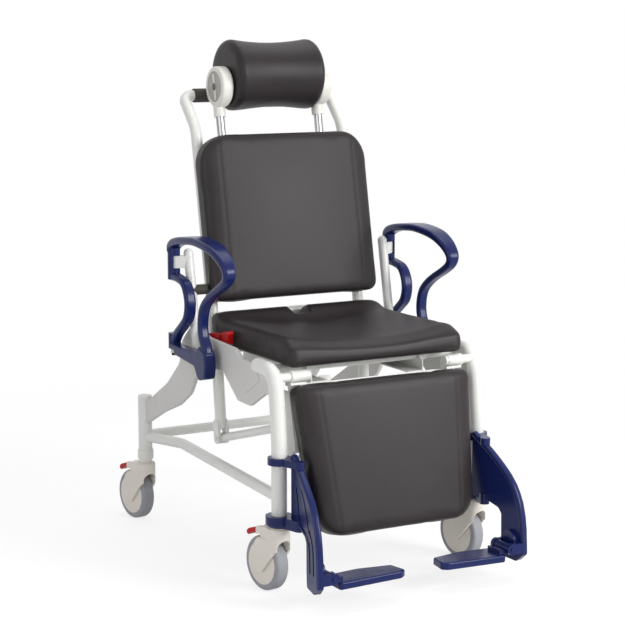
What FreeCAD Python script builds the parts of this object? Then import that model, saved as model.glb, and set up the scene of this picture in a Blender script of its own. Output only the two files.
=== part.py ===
import FreeCAD, Part
import os
from math import atan2, cos, degrees, hypot, radians, sin, tan

Vector = FreeCAD.Vector
os.makedirs("parts", exist_ok=True)

# Wheeled shower chair. Millimetres, +Z up, the sitter faces -Y and sits at X = 0.
# Side pieces are drawn for the sitter's left (+X) and mirrored for the right.

# Fits
RUN = 0.05            # radial clearance of a turning or sliding fit
SIDE_GAP = 0.5        # gap beside a turning eye or under a swivelling fork

# Floor plan
TRACK = 525.0
HALF_TRACK = TRACK / 2
FRONT_Y = -267.0      # front castor stems
REAR_Y = 446.0        # rear castor stems

# Castors
WHEEL_D = 125.0
WHEEL_R = WHEEL_D / 2
TRAIL = 46.0
TYRE_W = 32.0
HUB_R = 49.0
HUB_PROUD = 0.5
CROWN_H = 29.0
FORK_TOP = WHEEL_D + CROWN_H
FORK_GAP = 1.0        # between the hub face and the fork cheek
CHEEK_T = 6.5
COLLAR_R = 21.0
STEM_R = 6.0
STEM_LEN = 45.0
BEARING_R = 16.5
BEARING_H = 10.0      # bearing collar between fork and frame tube
AXLE_R = 5.0
ARCH_GAP = 4.0        # between the tread and the fork crown
MOUTH_TOP = WHEEL_D + 1
PEDAL_Y = 64.0
PEDAL_Z = WHEEL_D + 9
PEDAL_EYE_R = 6.0
PEDAL_PIN_R = 2.5
PEDAL_W = 18.0
PEDAL_TIP = 112.0
CASTOR_TURN = 8.0     # degrees the castors stand turned

# Frame tubes and side plates
LEG_R = 17.5
LEG_BEND_Z = 345.0
LEG_TOP = (-252.0, 499.0)
LEG_RUN_END = (-172.0, 502.6)
POST_TOP = 322.0
CAP_H = 5.0
POST_COLLAR_R = 20.0
POST_COLLAR_H = 22.0
PLATE_T = 12.0
PLATE_EDGE_R = 3.0
PLATE_RIB_H = 1.5
RAIL_R = 13.0
RAIL_Z = 220.0
RAIL_BEND = (HALF_TRACK - 45.5, 325.0)
CROSS_R = 12.0
CROSS_Y = 440.0
CROSS_Z = 226.0

# Legrest hinge
KNEE_Y = -252.0
KNEE_Z = 486.0
KNEE_R = 10.0


def rounded_wire(points, radii, closed=True):
    """Wire through the points with each corner rounded by its own radius."""
    count = len(points)
    entries = []
    for i in range(count):
        here = points[i]
        if radii[i] <= 0 or (not closed and i in (0, count - 1)):
            entries.append((here, None, here))
            continue
        back = (points[i - 1] - here).normalize()
        ahead = (points[(i + 1) % count] - here).normalize()
        half = back.getAngle(ahead) / 2
        reach = radii[i] / tan(half)
        middle = (back + ahead).normalize() * (radii[i] / sin(half) - radii[i])
        entries.append((here + back * reach, here + middle, here + ahead * reach))
    edges = []
    for i in range(count):
        start, middle, end = entries[i]
        if middle is not None:
            edges.append(Part.Arc(start, middle, end).toShape())
        if i == count - 1 and not closed:
            break
        follow = entries[(i + 1) % count][0]
        if end.distanceToPoint(follow) > 1e-6:
            edges.append(Part.makeLine(end, follow))
    return Part.Wire(edges)


def bar(points, radii, radius):
    """Round bar along a bent line."""
    spine = rounded_wire(points, radii, closed=False)
    ring = Part.Wire([Part.Circle(points[0], points[1] - points[0], radius).toShape()])
    return spine.makePipeShell([ring], True, False)


def rod(start, end, radius):
    """Straight round bar between two points."""
    return Part.makeCylinder(radius, start.distanceToPoint(end), start, end - start)


def across(radius, x0, x1, y, z):
    """Round bar parallel to X."""
    return rod(Vector(x0, y, z), Vector(x1, y, z), radius)


def upright(radius, x, y, z0, z1):
    """Round bar parallel to Z."""
    return rod(Vector(x, y, z0), Vector(x, y, z1), radius)


def block(x0, x1, y0, y1, z0, z1):
    """Box between two corners."""
    return Part.makeBox(x1 - x0, y1 - y0, z1 - z0, Vector(x0, y0, z0))


def plate(outline, x0, x1):
    """Plate between two planes of X; the outline rows are y, z and corner radius."""
    points = [Vector(x0, y, z) for y, z, r in outline]
    face = Part.Face(rounded_wire(points, [r for y, z, r in outline]))
    return face.extrude(Vector(x1 - x0, 0, 0))


def stadium(y0, z0, y1, z1, width, x0, x1):
    """Plate with round ends about a line in a plane of constant X."""
    length = hypot(y1 - y0, z1 - z0)
    across_y = -(z1 - z0) / length * width / 2
    across_z = (y1 - y0) / length * width / 2
    web = plate([(y0 - across_y, z0 - across_z, 0), (y1 - across_y, z1 - across_z, 0),
                 (y1 + across_y, z1 + across_z, 0), (y0 + across_y, z0 + across_z, 0)], x0, x1)
    return join([web, across(width / 2, x0, x1, y0, z0), across(width / 2, x0, x1, y1, z1)])


def slab(x0, y0, x1, y1, width, z0, z1):
    """Level plate with round ends about a line in a plane of constant Z."""
    length = hypot(x1 - x0, y1 - y0)
    web = Part.makeBox(length, width, z1 - z0, Vector(0, -width / 2, z0))
    web.rotate(Vector(0, 0, 0), Vector(0, 0, 1), degrees(atan2(y1 - y0, x1 - x0)))
    web.translate(Vector(x0, y0, 0))
    return join([web, upright(width / 2, x0, y0, z0, z1), upright(width / 2, x1, y1, z0, z1)])


def join(shapes):
    """One solid made of several."""
    return shapes[0].multiFuse(shapes[1:]).removeSplitter()


def mirrored(shape):
    return shape.mirror(Vector(0, 0, 0), Vector(1, 0, 0))


def moved(shape, x, y, z):
    copy = shape.copy()
    copy.translate(Vector(x, y, z))
    return copy


def save(name, shapes):
    """Writes one node, its solids brought to the middle of the chair's length."""
    solids = [solid for shape in shapes for solid in shape.Solids]
    whole = solids[0] if len(solids) == 1 else Part.makeCompound(solids)
    moved(whole, 0, -MIDDLE_Y, 0).exportStep("parts/%s.step" % name)


def save_pair(name, shape):
    save(name + "_left", [shape])
    save(name + "_right", [mirrored(shape)])


# The middle of the length, halfway between the footrest tips and the rear brake pedals.
FOOT_FRONT = -464.0
pedal_reach = PEDAL_TIP * cos(radians(CASTOR_TURN)) + PEDAL_W / 2 * sin(radians(CASTOR_TURN))
MIDDLE_Y = (FOOT_FRONT + REAR_Y + pedal_reach) / 2


# Castors: drawn about a stem on the Z axis, the wheel trailing towards +Y.
hub_half = TYRE_W / 2 + HUB_PROUD
cheek_in = hub_half + FORK_GAP
cheek_out = cheek_in + CHEEK_T
crown_r = WHEEL_R + ARCH_GAP
fork_top = FORK_TOP - SIDE_GAP
slot_half = PEDAL_W / 2 + SIDE_GAP


def castor_fork():
    """Fork with a crown tapering to the pedal, two cheeks and a mouth for the tread."""
    rear = slot_half + 4
    rows = [(-cheek_out, -cheek_out, cheek_out - 0.1), (cheek_out, -cheek_out, cheek_out - 0.1),
            (cheek_out, 8, 40), (rear, PEDAL_Y + 9, 4), (-rear, PEDAL_Y + 9, 4), (-cheek_out, 8, 40)]
    plan = Part.Face(rounded_wire([Vector(x, y, 0) for x, y, r in rows], [r for x, y, r in rows]))
    front = -cheek_out - 1
    crown = plate([(front, fork_top - 3, 0), (22, fork_top - 3, 30), (PEDAL_Y + 8, PEDAL_Z + 9, 8),
                   (PEDAL_Y + 8, PEDAL_Z - 8, 5), (TRAIL, WHEEL_R + 49, 0), (front, WHEEL_R + 49, 0)],
                  -cheek_out, cheek_out).common(plan.extrude(Vector(0, 0, fork_top)))
    cheeks = plate([(front, WHEEL_R + 60, 0), (50, WHEEL_R + 60, 0), (62, WHEEL_R + 48, 10),
                    (TRAIL + 26, WHEEL_R + 28, 24), (TRAIL + 18, WHEEL_R - 14, 14),
                    (TRAIL - 9, WHEEL_R - 18, 10), (-10, WHEEL_R + 36, 14), (front, WHEEL_R + 42, 0)],
                   -cheek_out, cheek_out).common(slab(0, 0, 0, TRAIL + 30, cheek_out * 2, 0, fork_top))
    cavity = across(crown_r, -cheek_in, cheek_in, TRAIL, WHEEL_R)
    arch = MOUTH_TOP - cheek_in
    mouth = join([block(-cheek_in, cheek_in, front - 4, TRAIL, WHEEL_R, arch),
                  rod(Vector(0, front - 4, arch), Vector(0, TRAIL, arch), cheek_in)])
    slot = block(-slot_half, slot_half, PEDAL_Y - PEDAL_EYE_R - 3, PEDAL_Y + 20, PEDAL_Z - 40, PEDAL_Z + 30)
    collar = upright(COLLAR_R, 0, 0, fork_top - 24, fork_top)
    stem = upright(STEM_R, 0, 0, fork_top - 2, fork_top + STEM_LEN)
    axle = across(AXLE_R, -cheek_out + 1, cheek_out - 1, TRAIL, WHEEL_R)
    pin = across(PEDAL_PIN_R, -rear, rear, PEDAL_Y, PEDAL_Z)
    shell = join([crown, cheeks, collar]).cut(slot).cut(cavity).cut(mouth)
    return join([shell, stem, axle, pin])


def castor_tyre():
    """Solid tyre with a rounded tread."""
    half = TYRE_W / 2
    points = [Vector(-half, 0, HUB_R), Vector(half, 0, HUB_R), Vector(half, 0, WHEEL_R),
              Vector(-half, 0, WHEEL_R)]
    ring = Part.Face(rounded_wire(points, [0, 0, 7, 7]))
    tyre = ring.revolve(Vector(0, 0, 0), Vector(1, 0, 0), 360)
    return moved(tyre, 0, TRAIL, WHEEL_R)


def castor_hub():
    """Closed hub disc with a bore for the axle."""
    disc = across(HUB_R, -hub_half, hub_half, TRAIL, WHEEL_R)
    disc = disc.makeFillet(HUB_PROUD, [disc.Edges[0], disc.Edges[2]])
    return disc.cut(across(AXLE_R + RUN, -hub_half - 1, hub_half + 1, TRAIL, WHEEL_R))


def castor_pedal():
    """Brake pedal with an eye round the fork pin."""
    half = PEDAL_W / 2
    paddle = plate([(PEDAL_Y, PEDAL_Z + PEDAL_EYE_R, 0), (PEDAL_Y + 16, PEDAL_Z + 4, 8),
                    (PEDAL_TIP - 8, PEDAL_Z - 4, 8), (PEDAL_TIP, PEDAL_Z - 10, 3),
                    (PEDAL_TIP, PEDAL_Z - 17, 3), (PEDAL_TIP - 8, PEDAL_Z - 19, 4),
                    (PEDAL_Y + 22, PEDAL_Z - 8, 8), (PEDAL_Y, PEDAL_Z - PEDAL_EYE_R, 0)], -half, half)
    eye = across(PEDAL_EYE_R, -half, half, PEDAL_Y, PEDAL_Z)
    hole = across(PEDAL_PIN_R + RUN, -half - 1, half + 1, PEDAL_Y, PEDAL_Z)
    return paddle.fuse(eye).removeSplitter().cut(hole)


def save_castors():
    places = {"front_right": (-HALF_TRACK, FRONT_Y), "front_left": (HALF_TRACK, FRONT_Y),
              "rear_right": (-HALF_TRACK, REAR_Y), "rear_left": (HALF_TRACK, REAR_Y)}
    pieces = {"castor_fork": castor_fork(), "castor_tyre": castor_tyre(),
              "castor_hub": castor_hub(), "castor_pedal": castor_pedal()}
    for place, (x, y) in places.items():
        for name, piece in pieces.items():
            turned = piece.copy()
            turned.rotate(Vector(0, 0, 0), Vector(0, 0, 1), CASTOR_TURN)
            save("%s_%s" % (name, place), [moved(turned, x, y, 0)])


# Frame: legs, posts, rails, side plates and the seat frame.
plate_in = HALF_TRACK - PLATE_T / 2
plate_out = HALF_TRACK + PLATE_T / 2
stem_hole = STEM_LEN + 5


def stem_bore(y):
    return upright(STEM_R + RUN, HALF_TRACK, y, FORK_TOP - 1, FORK_TOP + stem_hole)


def bearing_collar(y):
    """Dark collar between a castor fork and its frame tube."""
    ring = upright(BEARING_R, HALF_TRACK, y, FORK_TOP, FORK_TOP + BEARING_H)
    return ring.cut(stem_bore(y))


def front_leg():
    """Leg tube bent over the shoulder into the top of the side plate, its end domed."""
    points = [Vector(HALF_TRACK, FRONT_Y, FORK_TOP + BEARING_H), Vector(HALF_TRACK, FRONT_Y, LEG_BEND_Z),
              Vector(HALF_TRACK, *LEG_TOP), Vector(HALF_TRACK, *LEG_RUN_END)]
    dome = Part.makeSphere(LEG_R, points[-1], points[-1] - points[-2], 0, 90)
    return join([bar(points, [0, 150, 45, 0], LEG_R), dome]).cut(stem_bore(FRONT_Y))


def rear_post():
    """Short post with a collar at its foot."""
    foot = FORK_TOP + BEARING_H
    tube = upright(LEG_R, HALF_TRACK, REAR_Y, foot, POST_TOP)
    collar = upright(POST_COLLAR_R, HALF_TRACK, REAR_Y, foot, foot + POST_COLLAR_H)
    return tube.fuse(collar).removeSplitter().cut(stem_bore(REAR_Y))


def post_cap():
    cap = upright(LEG_R, HALF_TRACK, REAR_Y, POST_TOP, POST_TOP + CAP_H)
    top = [edge for edge in cap.Edges if edge.BoundBox.ZMin > POST_TOP + CAP_H / 2]
    return cap.makeFillet(CAP_H * 0.6, top)


def lower_rail():
    """Side rail bent inwards behind the seat, fitted between post and leg."""
    points = [Vector(HALF_TRACK, REAR_Y, RAIL_Z), Vector(RAIL_BEND[0], RAIL_BEND[1], RAIL_Z),
              Vector(HALF_TRACK, FRONT_Y, RAIL_Z)]
    ends = [upright(LEG_R, HALF_TRACK, y, RAIL_Z - 40, RAIL_Z + 40) for y in (REAR_Y, FRONT_Y)]
    return bar(points, [0, 80, 0], RAIL_R).cut(ends[0]).cut(ends[1])


# Armrest hinge line and posts
ARM_REACH = 31.5      # from the side plate out to the hinge line
ARM_X = plate_out + ARM_REACH
ARM_Y = 185.0
ARM_PIN_R = 5.0
ARM_EYE_R = 9.5
LUG_Z0 = 480.0
LUG_Z1 = 490.0
PIN_HEAD_H = 6.0
ARM_POST_R = 11.5
ARM_POST_WALL = 1.5   # left of the side plate inside the post
ARM_POST_X = plate_in + ARM_POST_WALL + ARM_POST_R
ARM_POST_TOP = 719.0
ARM_POST_FOOT = 476.0
ARM_POST_Y = 168.8    # at the top of the post
BLOCK_Z0 = 684.0
BLOCK_Z1 = 713.0
KNUCKLE_H = 18.0      # upper knuckle
KNUCKLE_LOW_H = 26.0  # knuckle under the hinge block
FOOT_KNUCKLE_H = 37.0 # knuckle over the lower lug
KNUCKLE_GAP = 1.0
LUG_CLEAR = 12.0      # kept free in front of the lower lug

# Reclining back
PIVOT_Y = 152.5
PIVOT_Z = 455.0
BACK_LEAN = 10.9
BACK_INSET = 53.5     # from the side plate in to the back tube
BACK_X = plate_in - BACK_INSET
TUBE_R = 13.5
BOLT_R = 8.0
BOLT_HEAD_R = 12.0
BOLT_HEAD_H = 5.0
BOLT_COLLAR_R = 16.0
BOSS_W = 15.5         # collar between lever and side plate
BOSS_IN = plate_in - BOSS_W


def post_y(z):
    return ARM_POST_Y - (ARM_POST_TOP - z) * tan(radians(BACK_LEAN))


def arm_pins():
    """Upper and lower hinge pin of one armrest."""
    upper = upright(ARM_PIN_R, ARM_X, ARM_Y, BLOCK_Z0 - KNUCKLE_LOW_H + 2, BLOCK_Z1 + KNUCKLE_H - 2)
    lower = upright(ARM_PIN_R, ARM_X, ARM_Y, LUG_Z0, LUG_Z1 + FOOT_KNUCKLE_H - 8)
    head = upright(ARM_PIN_R + 3, ARM_X, ARM_Y, LUG_Z0 - PIN_HEAD_H, LUG_Z0)
    return [upper, lower.fuse(head).removeSplitter()]


def armrest_post():
    """Leaning post with a domed top and the hinge block on its outer side."""
    foot = Vector(ARM_POST_X, post_y(ARM_POST_FOOT), ARM_POST_FOOT)
    top = Vector(ARM_POST_X, ARM_POST_Y, ARM_POST_TOP)
    block_y = post_y((BLOCK_Z0 + BLOCK_Z1) / 2)
    hinge = slab(ARM_POST_X, block_y, ARM_X, ARM_Y, ARM_EYE_R * 2, BLOCK_Z0, BLOCK_Z1)
    post = join([rod(foot, top, ARM_POST_R), Part.makeSphere(ARM_POST_R, top), hinge])
    return post.cut(arm_pins()[0])


def pivot_bolt():
    """Bolt that carries the back, with a collar against the side plate."""
    inner = BACK_X - TUBE_R - SIDE_GAP
    shaft = across(BOLT_R, inner, plate_in, PIVOT_Y, PIVOT_Z)
    collar = across(BOLT_COLLAR_R, BOSS_IN, plate_in, PIVOT_Y, PIVOT_Z)
    head = across(BOLT_HEAD_R, inner - BOLT_HEAD_H, inner, PIVOT_Y, PIVOT_Z)
    return join([shaft, collar, head])


def side_plate():
    """Moulded side with a sweeping rear strut, a front lobe and a diagonal rib."""
    outline = [(-257.5, 446, 0), (-252, 499, 20), (-96, 506, 0), (-62, 524.7, 20), (72, 530.5, 60),
               (150, 551, 6), (168, 542, 12), (214, 502, 40), (228, 446, 40), (300, 384, 150),
               (REAR_Y, 302, 0), (REAR_Y, 248, 0), (330, 303, 120), (235, 339, 120), (172, 378, 60),
               (142, 424, 60), (118, 460, 18), (-6, 461, 14), (-79, 406, 8), (-138, 404, 12),
               (-211, 444, 20)]
    body = plate(outline, plate_in, plate_out)
    rims = [edge for edge in body.Edges if edge.BoundBox.XLength < 1e-3]
    body = body.makeFillet(PLATE_EDGE_R, rims)
    rib = stadium(-112, 438, -176, 474, 20, plate_out - 1, plate_out + PLATE_RIB_H)
    lug = slab(HALF_TRACK, ARM_Y - 16, ARM_X, ARM_Y, ARM_EYE_R * 2, LUG_Z0, LUG_Z1)
    release_hole = across(RELEASE_PIN_R + RUN, plate_in - 1, HALF_TRACK + 1, RELEASE_Y, RELEASE_Z)
    body = body.fuse(rib).fuse(lug.cut(block(0, plate_in, 0, 400, 400, 600)))
    for neighbour in [front_leg(), rear_post(), armrest_post(), arm_pins()[1], release_hole]:
        body = body.cut(neighbour)
    return max(body.Solids, key=lambda solid: solid.Volume)


# Recline gas spring
GAS_INSET = 33.0      # from the back tube in to the spring
GAS_X = BACK_X - GAS_INSET
GAS_FOOT = (426.0, 262.0)
GAS_HEAD = (192.0, 539.0)
GAS_EYE_W = 12.0
GAS_LUG_T = 6.0
GAS_PIN_R = 4.0
GAS_EYE_R = 9.0
gas_lug_x0 = GAS_X - GAS_EYE_W / 2 - SIDE_GAP - GAS_LUG_T
gas_lug_x1 = gas_lug_x0 + GAS_LUG_T
gas_pin_x1 = GAS_X + GAS_EYE_W / 2 + SIDE_GAP + 3


def rear_cross_tube():
    """Tube between the rear posts with the lug and pin of the gas spring."""
    tube = across(CROSS_R, -HALF_TRACK, HALF_TRACK, CROSS_Y, CROSS_Z)
    lug = stadium(CROSS_Y, CROSS_Z, GAS_FOOT[0], GAS_FOOT[1], GAS_EYE_R * 2, gas_lug_x0, gas_lug_x1)
    pin = across(GAS_PIN_R, gas_lug_x0, gas_pin_x1, *GAS_FOOT)
    whole = join([tube, lug, pin])
    for neighbour in [rear_post(), lower_rail()]:
        whole = whole.cut(neighbour).cut(mirrored(neighbour))
    return whole


def legrest_pin():
    """Hinge stub of the legrest on a front leg, with a head at its inner end."""
    end = HINGE_KNUCKLE_X[0] - SIDE_GAP
    stub = across(KNEE_R, end, HALF_TRACK, KNEE_Y, KNEE_Z)
    head = across(KNEE_R + 3, end - PIN_HEAD_H, end, KNEE_Y, KNEE_Z)
    return max(stub.fuse(head).removeSplitter().cut(front_leg()).Solids, key=lambda solid: solid.Volume)


# Seat
SEAT_BOTTOM = 504.0
SEAT_TUBE_R = 10.0
SEAT_RAIL_X = BACK_X - 53
SEAT_CROSS = (-190.0, 95.0)
PAN_RAIL_T = 3.0
PAN_RAIL_W = 42.0
PAN_RAIL_DROP = 36.0


def seat_frame():
    """Welded frame under the seat with two angle rails for a pan."""
    z = SEAT_BOTTOM - SEAT_TUBE_R
    front, rear = SEAT_CROSS
    pieces = [across(SEAT_TUBE_R, -plate_in, plate_in, y, z) for y in SEAT_CROSS]
    for side in (-1, 1):
        x = side * SEAT_RAIL_X
        pieces.append(rod(Vector(x, front - 20, z), Vector(x, rear + 25, z), SEAT_TUBE_R))
        web = sorted((x, x - side * PAN_RAIL_T))
        foot = sorted((x, x - side * PAN_RAIL_W))
        low = z - PAN_RAIL_DROP
        pieces.append(block(web[0], web[1], front - 20, rear + 25, low, z))
        pieces.append(block(foot[0], foot[1], front - 20, rear + 25, low, low + PAN_RAIL_T))
    frame = join(pieces)
    leg = front_leg()
    return frame.cut(leg).cut(mirrored(leg))


# Stop buffer between the right armrest post and the back
BUFFER_R = 12.0
BUFFER_Z = 632.0
BUFFER_X = BACK_X + 28


def stop_buffer():
    buffer = across(BUFFER_R, BUFFER_X, ARM_POST_X, post_y(BUFFER_Z), BUFFER_Z)
    return max(buffer.cut(armrest_post()).Solids, key=lambda solid: solid.Volume)


def save_base():
    save_pair("front_leg", front_leg())
    save_pair("rear_post", rear_post())
    save_pair("lower_rail", lower_rail())
    save_pair("side_plate", side_plate())
    save_pair("armrest_post", armrest_post())
    save("post_caps", [post_cap(), mirrored(post_cap())])
    save("rear_cross_tube", [rear_cross_tube()])
    save("legrest_pins", [legrest_pin(), mirrored(legrest_pin())])
    save("seat_frame", [seat_frame()])
    save("armrest_pins", arm_pins() + [mirrored(pin) for pin in arm_pins()])
    save("pivot_bolts", [pivot_bolt(), mirrored(pivot_bolt())])
    save("stop_buffer", [mirrored(stop_buffer())])
    collars = [bearing_collar(y) for y in (FRONT_Y, REAR_Y)]
    save("bearing_collars", collars + [mirrored(collar) for collar in collars])


# Back frame. Its own frame has Z up the leaning tubes and -Y towards the sitter.
LINK_Y = 133.0
LINK_Z = 270.0
LINK_PIN_R = 5.0
LINK_EYE_R = 13.0
LINK_EYE_W = 16.0
LINK_R = 10.0
LINK_NECK_R = 7.0
LINK_NECK = 34.0      # length of the thinner ends
EAR_T = 6.0
PUSH_BEND = 563.0
PUSH_JOINT = 600.0
PUSH_Z = 650.0
PUSH_BACK = 55.0
PUSH_CORNER_R = 24.0
GRIP_R = 17.0
GRIP_HALF = BACK_X - PUSH_CORNER_R - 3
BACK_CROSS_R = 11.0
BACK_CROSS_Z = 107.0
BOARD_T = 6.0
BOARD_X = BACK_X + 2
BOARD_Z0 = 146.0
BOARD_Z1 = 528.0

# Headrest
ROD_R = 10.5
ROD_X = 136.0
ROD_Y = -2.0
ROD_Z0 = 300.0
ROD_Z1 = 640.0
SOCKET_Z0 = 440.0
SOCKET_Z1 = 530.0
CHEEK_R = 49.0
CHEEK_X0 = 121.0
CHEEK_X1 = 151.0
TILT_Y = -15.0
TILT_Z = 660.0
TILT_R = 8.0
ROLL_HALF = 118.0
ROLL_Z = 687.0
ROLL_END_R = 87.5
ROLL_WAIST_R = 79.5
ROLL_FLAT = 32.0      # from the tilt axle to the flat lower back of the roll
ROLL_CUT = 39.0       # degrees over level where the round upper back begins
DIAL_R = 37.0
DIAL_DEPTH = 4.0

eye_in = BACK_X - LINK_EYE_W / 2
eye_out = BACK_X + LINK_EYE_W / 2
lever_len = hypot(PIVOT_Y - LINK_Y, PIVOT_Z - LINK_Z)
lever_y = (PIVOT_Y - LINK_Y) / lever_len
lever_z = (PIVOT_Z - LINK_Z) / lever_len


def tilted(shape, lean, y, z):
    """A shape drawn upright, leaned back about X and set on a pivot."""
    copy = shape.copy()
    copy.rotate(Vector(0, 0, 0), Vector(1, 0, 0), -lean)
    copy.translate(Vector(0, y, z))
    return copy


def on_back(shape):
    return tilted(shape, BACK_LEAN, PIVOT_Y, PIVOT_Z)


def back_point(x, y, z):
    """A point of the leaning back in the frame of the chair."""
    lean = radians(BACK_LEAN)
    return Vector(x, PIVOT_Y + y * cos(lean) + z * sin(lean), PIVOT_Z - y * sin(lean) + z * cos(lean))


def push_y(z):
    """Rearward offset of the push bar's side tubes above their bend."""
    return PUSH_BACK * (z - PUSH_BEND) / (PUSH_Z - PUSH_BEND)


def lever_point(along):
    return (LINK_Y + lever_y * along, LINK_Z + lever_z * along)


def back_frame(with_stop):
    """Upright and lever arm in one tube, with pivot sleeve and link fork; one side has the stop."""
    start = lever_point(LINK_EYE_R * 2)
    tube = bar([Vector(BACK_X, *start), Vector(BACK_X, PIVOT_Y, PIVOT_Z), back_point(BACK_X, 0, PUSH_BEND),
                back_point(BACK_X, push_y(PUSH_JOINT), PUSH_JOINT)], [0, 200, 80, 0], TUBE_R)
    sleeve = across(BOLT_COLLAR_R, BACK_X, BOSS_IN - SIDE_GAP, PIVOT_Y, PIVOT_Z)
    top = lever_point(LINK_EYE_R * 2.6)
    fork_in = eye_in - SIDE_GAP
    fork_out = eye_out + SIDE_GAP
    inner = stadium(LINK_Y, LINK_Z, top[0], top[1], LINK_EYE_R * 2, fork_in - EAR_T, fork_in)
    outer = stadium(LINK_Y, LINK_Z, top[0], top[1], LINK_EYE_R * 2, fork_out, fork_out + EAR_T)
    pin = across(LINK_PIN_R, fork_in - EAR_T - 3, fork_out + EAR_T + 3, LINK_Y, LINK_Z)
    rear = post_y(BUFFER_Z) + BUFFER_R + 1.5
    axis_y = back_point(0, 0, (BUFFER_Z - PIVOT_Z) / cos(radians(BACK_LEAN))).y
    arm = block(BACK_X, ARM_POST_X - 20, axis_y - 8, axis_y + 4, BUFFER_Z - 8, BUFFER_Z + 8)
    finger = block(BUFFER_X, ARM_POST_X - 20, rear, axis_y + 4, BUFFER_Z - 8, BUFFER_Z + 8)
    hole = across(BOLT_R + RUN, BACK_X - TUBE_R - 5, BOSS_IN, PIVOT_Y, PIVOT_Z)
    stop = [arm, finger] if with_stop else []
    return join([tube, sleeve, inner, outer, pin] + stop).cut(hole)


def push_bar():
    """Bent bar across the top of the back."""
    points = [(BACK_X, push_y(PUSH_JOINT), PUSH_JOINT), (BACK_X, PUSH_BACK, PUSH_Z),
              (-BACK_X, PUSH_BACK, PUSH_Z), (-BACK_X, push_y(PUSH_JOINT), PUSH_JOINT)]
    return on_back(bar([Vector(*p) for p in points], [0, PUSH_CORNER_R, PUSH_CORNER_R, 0], TUBE_R))


def push_grip():
    sleeve = across(GRIP_R, -GRIP_HALF, GRIP_HALF, PUSH_BACK, PUSH_Z)
    sleeve = sleeve.makeFillet(3, [edge for edge in sleeve.Edges if edge.BoundBox.XLength < 1e-3])
    return on_back(sleeve.cut(across(TUBE_R, -GRIP_HALF - 1, GRIP_HALF + 1, PUSH_BACK, PUSH_Z)))


def back_cross_tube():
    """Tube between the uprights with the upper lug and pin of the gas spring."""
    centre = back_point(0, 0, BACK_CROSS_Z)
    tube = across(BACK_CROSS_R, -BACK_X, BACK_X, centre.y, centre.z)
    lug = stadium(centre.y, centre.z, GAS_HEAD[0], GAS_HEAD[1], GAS_EYE_R * 2, gas_lug_x0, gas_lug_x1)
    pin = across(GAS_PIN_R, gas_lug_x0, gas_pin_x1, *GAS_HEAD)
    whole = join([tube, lug, pin])
    side = back_frame(False)
    return whole.cut(side).cut(mirrored(side))


def back_board():
    """Rigid board that carries the back pad."""
    board = block(-BOARD_X, BOARD_X, -TUBE_R - BOARD_T, -TUBE_R, BOARD_Z0, BOARD_Z1)
    corners = [edge for edge in board.Edges if edge.BoundBox.YLength > BOARD_T / 2]
    return on_back(board.makeFillet(40, corners))


def rod_socket():
    """Guide of one headrest rod on the back of the board."""
    guide = block(ROD_X - ROD_R - 5, ROD_X + ROD_R + 5, -TUBE_R, ROD_R + 4, SOCKET_Z0, SOCKET_Z1)
    rear = [edge for edge in guide.Edges if edge.BoundBox.ZLength > 50 and edge.BoundBox.YMin > ROD_R]
    guide = guide.makeFillet(5, rear)
    return on_back(guide.cut(upright(ROD_R + RUN, ROD_X, ROD_Y, SOCKET_Z0 - 1, SOCKET_Z1 + 1)))


def headrest_rod():
    stick = upright(ROD_R, ROD_X, ROD_Y, ROD_Z0, ROD_Z1)
    return on_back(stick.makeFillet(2, [edge for edge in stick.Edges if edge.BoundBox.ZMax < ROD_Z0 + 1]))


def headrest_bracket():
    """Two round cheeks on the rods, joined by the tilt axle."""
    halves = []
    for side in (-1, 1):
        x0, x1 = sorted((side * CHEEK_X0, side * CHEEK_X1))
        cheek = across(CHEEK_R, x0, x1, TILT_Y, TILT_Z)
        cheek = cheek.makeFillet(6, [edge for edge in cheek.Edges if edge.BoundBox.XLength < 1e-3])
        sleeve = upright(ROD_R + 4, side * ROD_X, ROD_Y, ROD_Z1 - 52, ROD_Z1)
        halves += [cheek, sleeve]
    whole = join(halves + [across(TILT_R, -CHEEK_X0 - 1, CHEEK_X0 + 1, TILT_Y, TILT_Z)])
    for side in (-1, 1):
        x0, x1 = sorted((side * (CHEEK_X1 - DIAL_DEPTH), side * (CHEEK_X1 + 1)))
        whole = whole.cut(across(DIAL_R, x0, x1, TILT_Y, TILT_Z))
        whole = whole.cut(upright(ROD_R, side * ROD_X, ROD_Y, ROD_Z0, ROD_Z1))
    return on_back(whole)


def headrest_knob():
    """Dial sunk into a cheek, with an upright rib and a boss in its middle."""
    floor = CHEEK_X1 - DIAL_DEPTH
    disc = across(DIAL_R - SIDE_GAP, floor, floor + DIAL_DEPTH / 2, TILT_Y, TILT_Z)
    rib = stadium(TILT_Y, TILT_Z - DIAL_R + 9, TILT_Y, TILT_Z + DIAL_R - 9, 10, floor + 1, CHEEK_X1)
    boss = across(9, floor + 1, CHEEK_X1 + 1, TILT_Y, TILT_Z)
    return on_back(join([disc, rib, boss]))


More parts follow.
